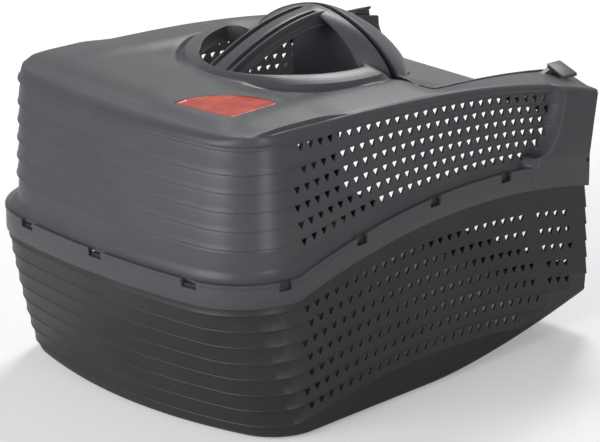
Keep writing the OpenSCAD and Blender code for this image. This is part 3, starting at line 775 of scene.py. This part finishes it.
def cover_z(x, y):
    """Floor and a quadratic rise to the edges, plus a hump that narrows forwards to a point."""
    side = np.abs(y)
    ahead = limit((x - COVER_X) / HUMP_LENGTH)
    s = np.minimum(1, side / np.maximum(6, HOOP_WIDTH / 2 * (1 - ahead ** 1.5)))
    rise = limit((side - HOOP_WIDTH / 2 - 3) / (COVER_HALF - HOOP_WIDTH / 2 - 3)) ** 2
    height = HOOP_TOP + 1 - crease_z(COVER_X) - 4
    hump = height * (1 - ahead ** 2.2)
    return mix(floor_z(x), cover_edge(x), rise) + hump * np.maximum(0, 1 - s ** 1.6) ** 0.625


def make_cover():
    """Closed section across the cover, carried from the hoop to the front, with a curtain under its rear."""
    half = COVER_HALF - CLEARANCE
    x = np.concatenate([[COVER_X + 3, COVER_X + 3.3, COVER_X + 4.2], np.linspace(COVER_X + 6, BOX_LENGTH - 3.2, 74),
                        [BOX_LENGTH - 2]])
    ease = np.concatenate([[1.3, 0.4, 0.0], np.zeros(74), [0.6]])
    across = np.sin(np.linspace(-1, 1, 141) * np.pi / 2)
    y = across * (half - WALL - 0.6)
    grid_x, grid_y = np.meshgrid(x, y, indexing="ij")
    upper = cover_z(grid_x, grid_y) - ease[:, None]
    lower = cover_z(grid_x, grid_y) - WALL + 0.2 * ease[:, None]
    rail = cover_z(x, COVER_HALF) + RAIL_HEIGHT - ease
    rim_low = cover_z(x, COVER_HALF) + RAIL_HEIGHT - RIM_DEPTH

    def column(place, height):
        return np.stack([x, np.full(len(x), place), height], axis=1)[:, None, :]
    middle_top = np.stack([grid_x, grid_y, upper], axis=2)
    middle_low = np.stack([grid_x, grid_y, lower], axis=2)[:, ::-1]
    section = np.concatenate([
        column(-half, rim_low), column(-half, rail - 0.7), column(-half + 0.3, rail - 0.2),
        column(-half + 0.9, rail), column(-half + WALL - 0.8, rail), column(-half + WALL - 0.2, rail - 0.4),
        middle_top,
        column(half - WALL + 0.2, rail - 0.4), column(half - WALL + 0.8, rail), column(half - 0.9, rail),
        column(half - 0.3, rail - 0.2), column(half, rail - 0.7), column(half, rim_low),
        column(half - WALL + 0.2, rim_low), middle_low, column(-half + WALL - 0.2, rim_low)], axis=1)
    piece = tube_shell("front_cover_looks", section)
    side = np.concatenate([np.linspace(0, CURTAIN_HALF, 16), np.linspace(CURTAIN_HALF, COVER_HALF - 4, 40)])
    arch = cover_z(COVER_X + 4, side) - 1
    low = np.where(side < RIB_FOOT, arch - RIB_DEPTH, RIB_LOW)
    low[:16] = CURTAIN_LOW
    half_outline = np.concatenate([np.stack([side, arch], axis=1), np.stack([side, low], axis=1)[::-1]])
    other_half = (half_outline * (-1, 1))[::-1]
    curtain = np.concatenate([half_outline[:-1], other_half[1:]])
    return combine(piece, lengthwise("curtain", curtain, COVER_X + 4, COVER_X + 4 + THIN), "UNION")


# Level indicator
def flap_outline(grow, rounding):
    """Quarter-round outline: an arc between two tips and a corner beside the arc's centre."""
    spread = FLAP_SPREAD + math.radians(0.6 if grow > 0 else 0)
    r = FLAP_RADIUS + grow
    turn = np.radians(45) + np.linspace(-spread, spread, 49)
    arc = np.stack([r * np.cos(turn), r * np.sin(turn)], axis=1)
    corner = np.array([5.5 - grow, -5.5 - grow])
    ends = rounded_corners([arc[3], arc[-4], corner], rounding, 6)
    tip_low = rounded_corners([corner, arc[0], arc[12]], rounding, 6)[6:12]
    tip_high = rounded_corners([arc[-13], arc[-1], corner], rounding, 6)[6:12]
    flat = np.concatenate([ends[12:18], tip_low, arc[5:-5], tip_high])
    return flat + (FLAP_X, -FLAP_Y)


SLAB_TOP = 359.1
FLAP_TOP = SLAB_TOP + FLAP_LIFT
CHORD_HALF = FLAP_RADIUS * math.sin(FLAP_SPREAD)
CHORD_OUT = FLAP_RADIUS * math.cos(FLAP_SPREAD)
PIN_Z = SLAB_TOP - FLAP_THICKNESS / 2


def chord_point(s, across=0.0):
    """Point on the line between the two tips, s along it from its middle."""
    c = math.sqrt(0.5)
    return np.array([FLAP_X + c * s + c * (CHORD_OUT + across), -FLAP_Y - c * s + c * (CHORD_OUT + across)])


def pin_bar(name, radius, half_length):
    """Round bar along the line between the tips."""
    turn = np.linspace(0, 2 * np.pi, 24, endpoint=False)
    c = math.sqrt(0.5)
    rows = []
    for s, r in ((-half_length, radius * 0.8), (-half_length + 0.5, radius), (half_length - 0.5, radius),
                 (half_length, radius * 0.8)):
        centre = chord_point(s)
        rows.append(np.stack([centre[0] + c * r * np.cos(turn), centre[1] + c * r * np.cos(turn),
                              PIN_Z + r * np.sin(turn)], axis=1))
    return tube_shell(name, np.array(rows))


def make_indicator():
    """Slab with a round rim, a shallow tray inside it and two pins."""
    flat = flap_outline(0, 3.2)
    centre = np.array([FLAP_X + 40, -FLAP_Y + 40])

    def loop(shrink, z):
        return raised(centre + (flat - centre) * (1 - shrink / 38), np.full(len(flat), z))
    rows = [loop(0.4, SLAB_TOP - FLAP_THICKNESS), loop(0, SLAB_TOP - FLAP_THICKNESS + 0.4), loop(0, FLAP_TOP - 0.7),
            loop(0.25, FLAP_TOP - 0.2), loop(0.8, FLAP_TOP), loop(2.2, FLAP_TOP), loop(2.8, FLAP_TOP - 0.15),
            loop(3.4, FLAP_TOP - 0.5), loop(5, FLAP_TOP - 0.6), loop(16, FLAP_TOP - 0.45), loop(30, FLAP_TOP - 0.3)]
    piece = tube_shell("indicator_looks", np.array(rows))
    return combine(piece, pin_bar("pins", PIN_RADIUS, CHORD_HALF + 6.5), "UNION")


# Shells with their openings
def make_upper():
    piece = ring_shell("upper_shell_looks", upper_rows())
    low = float(cover_edge(COVER_X)) - RIM_DEPTH - CLEARANCE
    next_low = float(cover_edge(COVER_X + 46)) - RIM_DEPTH - CLEARANCE
    front_low = float(floor_z(BOX_LENGTH)) - WALL - CLEARANCE
    room = np.array([(COVER_X, low), (COVER_X + 46, next_low), (BOX_LENGTH, front_low),
                     (BOX_LENGTH + 9, front_low), (BOX_LENGTH + 9, 440), (COVER_X, 440)])
    combine(piece, prisms("room", room, np.zeros((1, 2)), -COVER_HALF, COVER_HALF))
    for part in (make_hoop(), make_strip(), make_hook(-1), make_hook(1)):
        combine(piece, part, "UNION")
    c = math.sqrt(0.5)
    for side in (-1, 1):
        along_line, across = np.array([c, -c]), np.array([c, c])
        centre = chord_point(side * (CHORD_HALF + 4))
        flat = np.array([centre + a * along_line + b * across for a, b in ((-2.5, -4), (2.5, -4), (2.5, 4), (-2.5, 4))])
        combine(piece, upright("boss", flat, PIN_Z - 4.5, PIN_Z + 1.0), "UNION")
    mouth = rounded_corners([(-MOUTH_WIDTH / 2, -60), (MOUTH_WIDTH / 2, -60), (MOUTH_WIDTH / 2, MOUTH_TOP),
                             (-MOUTH_WIDTH / 2, MOUTH_TOP)], 14, 6)
    combine(piece, lengthwise("mouth", mouth, SKIRT_FRONT - 40, SKIRT_FRONT + 40))
    combine(piece, upright("flap_room", flap_outline(0.8, 3.6), 300, 400))
    combine(piece, pin_bar("bores", PIN_RADIUS + 0.3, CHORD_HALF + 7))
    turn = np.linspace(0, 2 * np.pi, 20, endpoint=False)
    screw = np.stack([2.5 * np.cos(turn), 2.5 * np.sin(turn)], axis=1)
    combine(piece, prisms("screw", screw, np.array([[BOX_LENGTH - 33, 214.0]]), -232, 232))
    combine(piece, prisms("holes", HOLE_OUTLINE, upper_hole_places(), -232, 232))
    for x in WINDOW_X:
        top = JOINT_HEIGHT + float(joint_lift(x)) + SKIRT_HEIGHT
        for side in (-1, 1):
            y = sorted((side * (HALF_WIDTH + 2), side * (HALF_WIDTH - WINDOW_DEPTH)))
            combine(piece, block("window", (x - WINDOW_WIDTH / 2, y[0], top - WINDOW_HEIGHT),
                                 (x + WINDOW_WIDTH / 2, y[1], top + 5)))
    for y in WINDOW_Y:
        x = REAR_BULGE * (y / HALF_WIDTH) ** 2 - 2
        low = JOINT_HEIGHT + SKIRT_HEIGHT - REAR_WINDOW_HEIGHT
        combine(piece, block("window", (x, y - REAR_WINDOW_WIDTH / 2, low),
                             (x + WINDOW_DEPTH + 3, y + REAR_WINDOW_WIDTH / 2, low + REAR_WINDOW_HEIGHT + 5)))
    return shade(piece)


def make_lower():
    piece = cup_shell("lower_shell_looks", lower_rows())
    mouth = rounded_corners([(-MOUTH_WIDTH / 2, MOUTH_BOTTOM), (MOUTH_WIDTH / 2, MOUTH_BOTTOM),
                             (MOUTH_WIDTH / 2, 470), (-MOUTH_WIDTH / 2, 470)], 14, 6)
    combine(piece, lengthwise("mouth", mouth, SKIRT_FRONT - 40, SKIRT_FRONT + 40))
    combine(piece, prisms("holes", HOLE_OUTLINE, lower_hole_places(), -232, 232))
    for x in WINDOW_X:
        top = JOINT_HEIGHT + float(joint_lift(x)) + SKIRT_HEIGHT
        for side in (-1, 1):
            y = sorted((side * (HALF_WIDTH - 3), side * (HALF_WIDTH - WINDOW_DEPTH)))
            combine(piece, block("pocket", (x - WINDOW_WIDTH / 2, y[0], top - WINDOW_HEIGHT),
                                 (x + WINDOW_WIDTH / 2, y[1], top)))
            y = sorted((side * (HALF_WIDTH - WINDOW_DEPTH + 0.9), side * (HALF_WIDTH - WINDOW_DEPTH - 0.1)))
            combine(piece, block("tongue", (x - WINDOW_WIDTH / 2 + 0.3, y[0], top - WINDOW_HEIGHT - 1),
                                 (x + WINDOW_WIDTH / 2 - 0.3, y[1], top + 1)), "UNION")
    return shade(piece)


# Materials
def new_group(name, inputs, outputs):
    """Empty node group with named sockets; returns it with its input and output nodes."""
    group = bpy.data.node_groups.new(name, "ShaderNodeTree")
    for label, kind, value in inputs:
        socket = group.interface.new_socket(name=label, in_out="INPUT", socket_type=kind)
        if value is not None:
            socket.default_value = value
    for label, kind in outputs:
        group.interface.new_socket(name=label, in_out="OUTPUT", socket_type=kind)
    return group, group.nodes.new("NodeGroupInput"), group.nodes.new("NodeGroupOutput")


def noise(tree, vector, scale, detail=2.0, rough=0.5):
    node = tree.nodes.new("ShaderNodeTexNoise")
    tree.links.new(vector, node.inputs["Vector"])
    if hasattr(scale, "is_linked"):
        tree.links.new(scale, node.inputs["Scale"])
    else:
        node.inputs["Scale"].default_value = scale
    node.inputs["Detail"].default_value = detail
    node.inputs["Roughness"].default_value = rough
    return node.outputs["Fac"]


def math_node(tree, operation, a, b):
    node = tree.nodes.new("ShaderNodeMath")
    node.operation = operation
    for socket, value in zip(node.inputs, (a, b)):
        if hasattr(value, "is_linked"):
            tree.links.new(value, socket)
        else:
            socket.default_value = value
    return node.outputs[0]


def ramp(tree, value, low, high, to_low, to_high):
    node = tree.nodes.new("ShaderNodeMapRange")
    tree.links.new(value, node.inputs["Value"])
    for label, number in (("From Min", low), ("From Max", high), ("To Min", to_low), ("To Max", to_high)):
        if hasattr(number, "is_linked"):
            tree.links.new(number, node.inputs[label])
        else:
            node.inputs[label].default_value = number
    return node.outputs["Result"]


def make_grain_group():
    """Height of a spark-eroded mould surface: fine grain on a faint wave from shrinkage."""
    group, start, end = new_group("moulded_grain", [
        ("Place", "NodeSocketVector", None), ("Grain Scale", "NodeSocketFloat", 900.0),
        ("Grain Depth", "NodeSocketFloat", 0.5), ("Wave Depth", "NodeSocketFloat", 0.5)],
        [("Height", "NodeSocketFloat")])
    grain = noise(group, start.outputs["Place"], start.outputs["Grain Scale"], 3.0, 0.6)
    wave = noise(group, start.outputs["Place"], 9.0, 1.0, 0.4)
    total = math_node(group, "ADD", math_node(group, "MULTIPLY", grain, start.outputs["Grain Depth"]),
                      math_node(group, "MULTIPLY", wave, start.outputs["Wave Depth"]))
    group.links.new(total, end.inputs["Height"])
    return group


def make_marks_group():
    """Mask of handling marks: soft clouds with thin rubbed streaks along the box, 0 clean to 1 marked."""
    group, start, end = new_group("handling_marks", [
        ("Place", "NodeSocketVector", None), ("Amount", "NodeSocketFloat", 0.5)], [("Mask", "NodeSocketFloat")])
    clouds = ramp(group, noise(group, start.outputs["Place"], 14.0, 4.0, 0.6), 0.42, 0.72, 0.0, 1.0)
    stretch = group.nodes.new("ShaderNodeMapping")
    stretch.inputs["Scale"].default_value = (18, 140, 220)
    group.links.new(start.outputs["Place"], stretch.inputs["Vector"])
    streaks = ramp(group, noise(group, stretch.outputs["Vector"], 1.0, 3.0, 0.7), 0.6, 0.8, 0.0, 1.0)
    both = math_node(group, "ADD", math_node(group, "MULTIPLY", clouds, 0.7), math_node(group, "MULTIPLY", streaks, 0.4))
    group.links.new(math_node(group, "MULTIPLY", both, start.outputs["Amount"]), end.inputs["Mask"])
    return group


def make_plastic(name, colour, marked, roughness, rough_marked, grain, depth, wave, amount):
    """Moulded plastic: grain and waves in the bump, marks in colour and roughness."""
    material = bpy.data.materials.new(name)
    material.use_nodes = True
    tree = material.node_tree
    shader = tree.nodes["Principled BSDF"]
    place = tree.nodes.new("ShaderNodeTexCoord").outputs["Object"]
    grain_node = tree.nodes.new("ShaderNodeGroup")
    grain_node.node_tree = GRAIN
    grain_node.inputs["Grain Scale"].default_value = grain
    grain_node.inputs["Grain Depth"].default_value = depth
    grain_node.inputs["Wave Depth"].default_value = wave
    marks_node = tree.nodes.new("ShaderNodeGroup")
    marks_node.node_tree = MARKS
    marks_node.inputs["Amount"].default_value = amount
    for node in (grain_node, marks_node):
        tree.links.new(place, node.inputs["Place"])
    blend = tree.nodes.new("ShaderNodeMix")
    blend.data_type = "RGBA"
    tree.links.new(marks_node.outputs["Mask"], blend.inputs["Factor"])
    blend.inputs[6].default_value = (*colour, 1)
    blend.inputs[7].default_value = (*marked, 1)
    tree.links.new(blend.outputs[2], shader.inputs["Base Color"])
    tree.links.new(ramp(tree, marks_node.outputs["Mask"], 0, 1, roughness, rough_marked), shader.inputs["Roughness"])
    shader.inputs["Specular IOR Level"].default_value = 0.38
    bump = tree.nodes.new("ShaderNodeBump")
    bump.inputs["Strength"].default_value = 0.35
    bump.inputs["Distance"].default_value = 0.001
    tree.links.new(grain_node.outputs["Height"], bump.inputs["Height"])
    tree.links.new(bump.outputs["Normal"], shader.inputs["Normal"])
    return material


GRAIN = make_grain_group()
MARKS = make_marks_group()
UPPER_GREY = make_plastic("upper_grey_plastic", (0.07, 0.073, 0.08), (0.088, 0.092, 0.097), 0.36, 0.46,
                          950, 0.09, 1.4, 0.6)
LOWER_BLACK = make_plastic("lower_black_plastic", (0.028, 0.027, 0.027), (0.046, 0.045, 0.044), 0.42, 0.54,
                           800, 0.16, 1.2, 0.7)
COVER_GREY = make_plastic("cover_grey_plastic", (0.068, 0.073, 0.083), (0.09, 0.095, 0.104), 0.34, 0.45,
                          1000, 0.07, 1.4, 0.5)


def make_red():
    """Tinted gloss plastic: noise clouds of paler red painted on as reflection, and a little rougher there."""
    material = bpy.data.materials.new("indicator_red_plastic")
    material.use_nodes = True
    tree = material.node_tree
    shader = tree.nodes["Principled BSDF"]
    place = tree.nodes.new("ShaderNodeTexCoord").outputs["Object"]
    # Painted reflection: noise clouds where the deep red turns to a paler red; the same mask raises the roughness a
    # little.
    painted_reflection_mask = ramp(tree, noise(tree, place, 38.0, 2.0, 0.5), 0.35, 0.68, 0.0, 1.0)
    blend = tree.nodes.new("ShaderNodeMix")
    blend.data_type = "RGBA"
    tree.links.new(painted_reflection_mask, blend.inputs["Factor"])
    blend.inputs[6].default_value = (0.52, 0.026, 0.006, 1)
    blend.inputs[7].default_value = (0.74, 0.085, 0.03, 1)
    tree.links.new(blend.outputs[2], shader.inputs["Base Color"])
    tree.links.new(ramp(tree, painted_reflection_mask, 0, 1, 0.2, 0.32), shader.inputs["Roughness"])
    shader.inputs["Specular IOR Level"].default_value = 0.32
    bump = tree.nodes.new("ShaderNodeBump")
    bump.inputs["Strength"].default_value = 0.2
    bump.inputs["Distance"].default_value = 0.0006
    tree.links.new(noise(tree, place, 420.0, 2.0, 0.5), bump.inputs["Height"])
    tree.links.new(bump.outputs["Normal"], shader.inputs["Normal"])
    return material


RED = make_red()


# Pieces in place
def dress(piece, material, body, node):
    piece.data.materials.clear()
    piece.data.materials.append(material)
    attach(piece, body)
    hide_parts(node)


dress(make_upper(), UPPER_GREY, "box", "upper_shell")
dress(make_lower(), LOWER_BLACK, "box", "lower_shell")
dress(shade(make_cover()), COVER_GREY, "box", "front_cover")
dress(shade(make_indicator()), RED, "indicator", "level_indicator")


# Floor, light and camera
def make_floor():
    floor = piece_of("floor", np.array([(-9000.0, -9000, 0), (9000, -9000, 0), (9000, 9000, 0), (-9000, 9000, 0)]),
                     [[0, 1, 2, 3]])
    material = bpy.data.materials.new("pale_floor")
    material.use_nodes = True
    tree = material.node_tree
    shader = tree.nodes["Principled BSDF"]
    shader.inputs["Base Color"].default_value = (0.86, 0.86, 0.86, 1)
    shader.inputs["Roughness"].default_value = 0.9
    shader.inputs["Specular IOR Level"].default_value = 0.0
    shader.inputs["Emission Color"].default_value = (1, 1, 1, 1)
    seen = tree.nodes.new("ShaderNodeLightPath").outputs["Is Camera Ray"]
    tree.links.new(math_node(tree, "MULTIPLY", seen, 0.3), shader.inputs["Emission Strength"])
    floor.data.materials.append(material)


def make_world():
    world = bpy.data.worlds.new("studio")
    bpy.context.scene.world = world
    world.use_nodes = True
    tree = world.node_tree
    shader = tree.nodes["Background"]
    path = tree.nodes.new("ShaderNodeLightPath")
    seen = math_node(tree, "MAXIMUM", math_node(tree, "MAXIMUM", path.outputs["Is Camera Ray"],
                                                path.outputs["Is Glossy Ray"]), path.outputs["Is Transmission Ray"])
    tree.links.new(ramp(tree, seen, 0, 1, 0.2, 0.6), shader.inputs["Strength"])
    shader.inputs["Color"].default_value = (0.97, 0.985, 1, 1)


def aim(direction):
    """Turn that points an object's own -Z along the direction."""
    from mathutils import Vector
    return Vector(direction).to_track_quat("-Z", "Y").to_euler()


def lamp(name, place, target, size, power):
    light = bpy.data.lights.new(name, "AREA")
    light.shape = "RECTANGLE"
    light.size, light.size_y = size
    light.energy = power
    piece = bpy.data.objects.new(name, light)
    piece.location = place
    piece.rotation_euler = aim(np.subtract(target, place))
    bpy.context.scene.collection.objects.link(piece)


def make_camera():
    """Camera fitted to the photograph: azimuth, elevation and distance round a target point."""
    azimuth, elevation, distance = math.radians(44.87), math.radians(20.29), 4.184
    target = np.array([-0.0127, -0.0296, 0.162])
    look = np.array([math.sin(azimuth) * math.cos(elevation), math.cos(azimuth) * math.cos(elevation),
                     -math.sin(elevation)])
    data = bpy.data.cameras.new("camera")
    data.sensor_fit = "HORIZONTAL"
    data.sensor_width = 36
    data.lens = 218.26
    camera = bpy.data.objects.new("camera", data)
    camera.location = target - look * distance
    camera.rotation_euler = aim(look)
    bpy.context.scene.collection.objects.link(camera)
    bpy.context.scene.camera = camera


make_floor()
make_world()
lamp("key_rear", (-2.9, 0.0, 1.2), (0, 0, 0.2), (2.6, 1.7), 64)
lamp("high_left", (1.45, 1.0, 2.45), (0, -0.1, 0.35), (0.8, 0.8), 36)
lamp("high_front_left", (2.4, 1.25, 2.1), (0.1, 0, 0.3), (0.7, 0.7), 10)
lamp("low_right", (-0.35, -2.9, 0.5), (0.15, 0, 0.2), (0.4, 0.7), 13)
make_camera()
bpy.context.scene.view_settings.view_transform = "Standard"
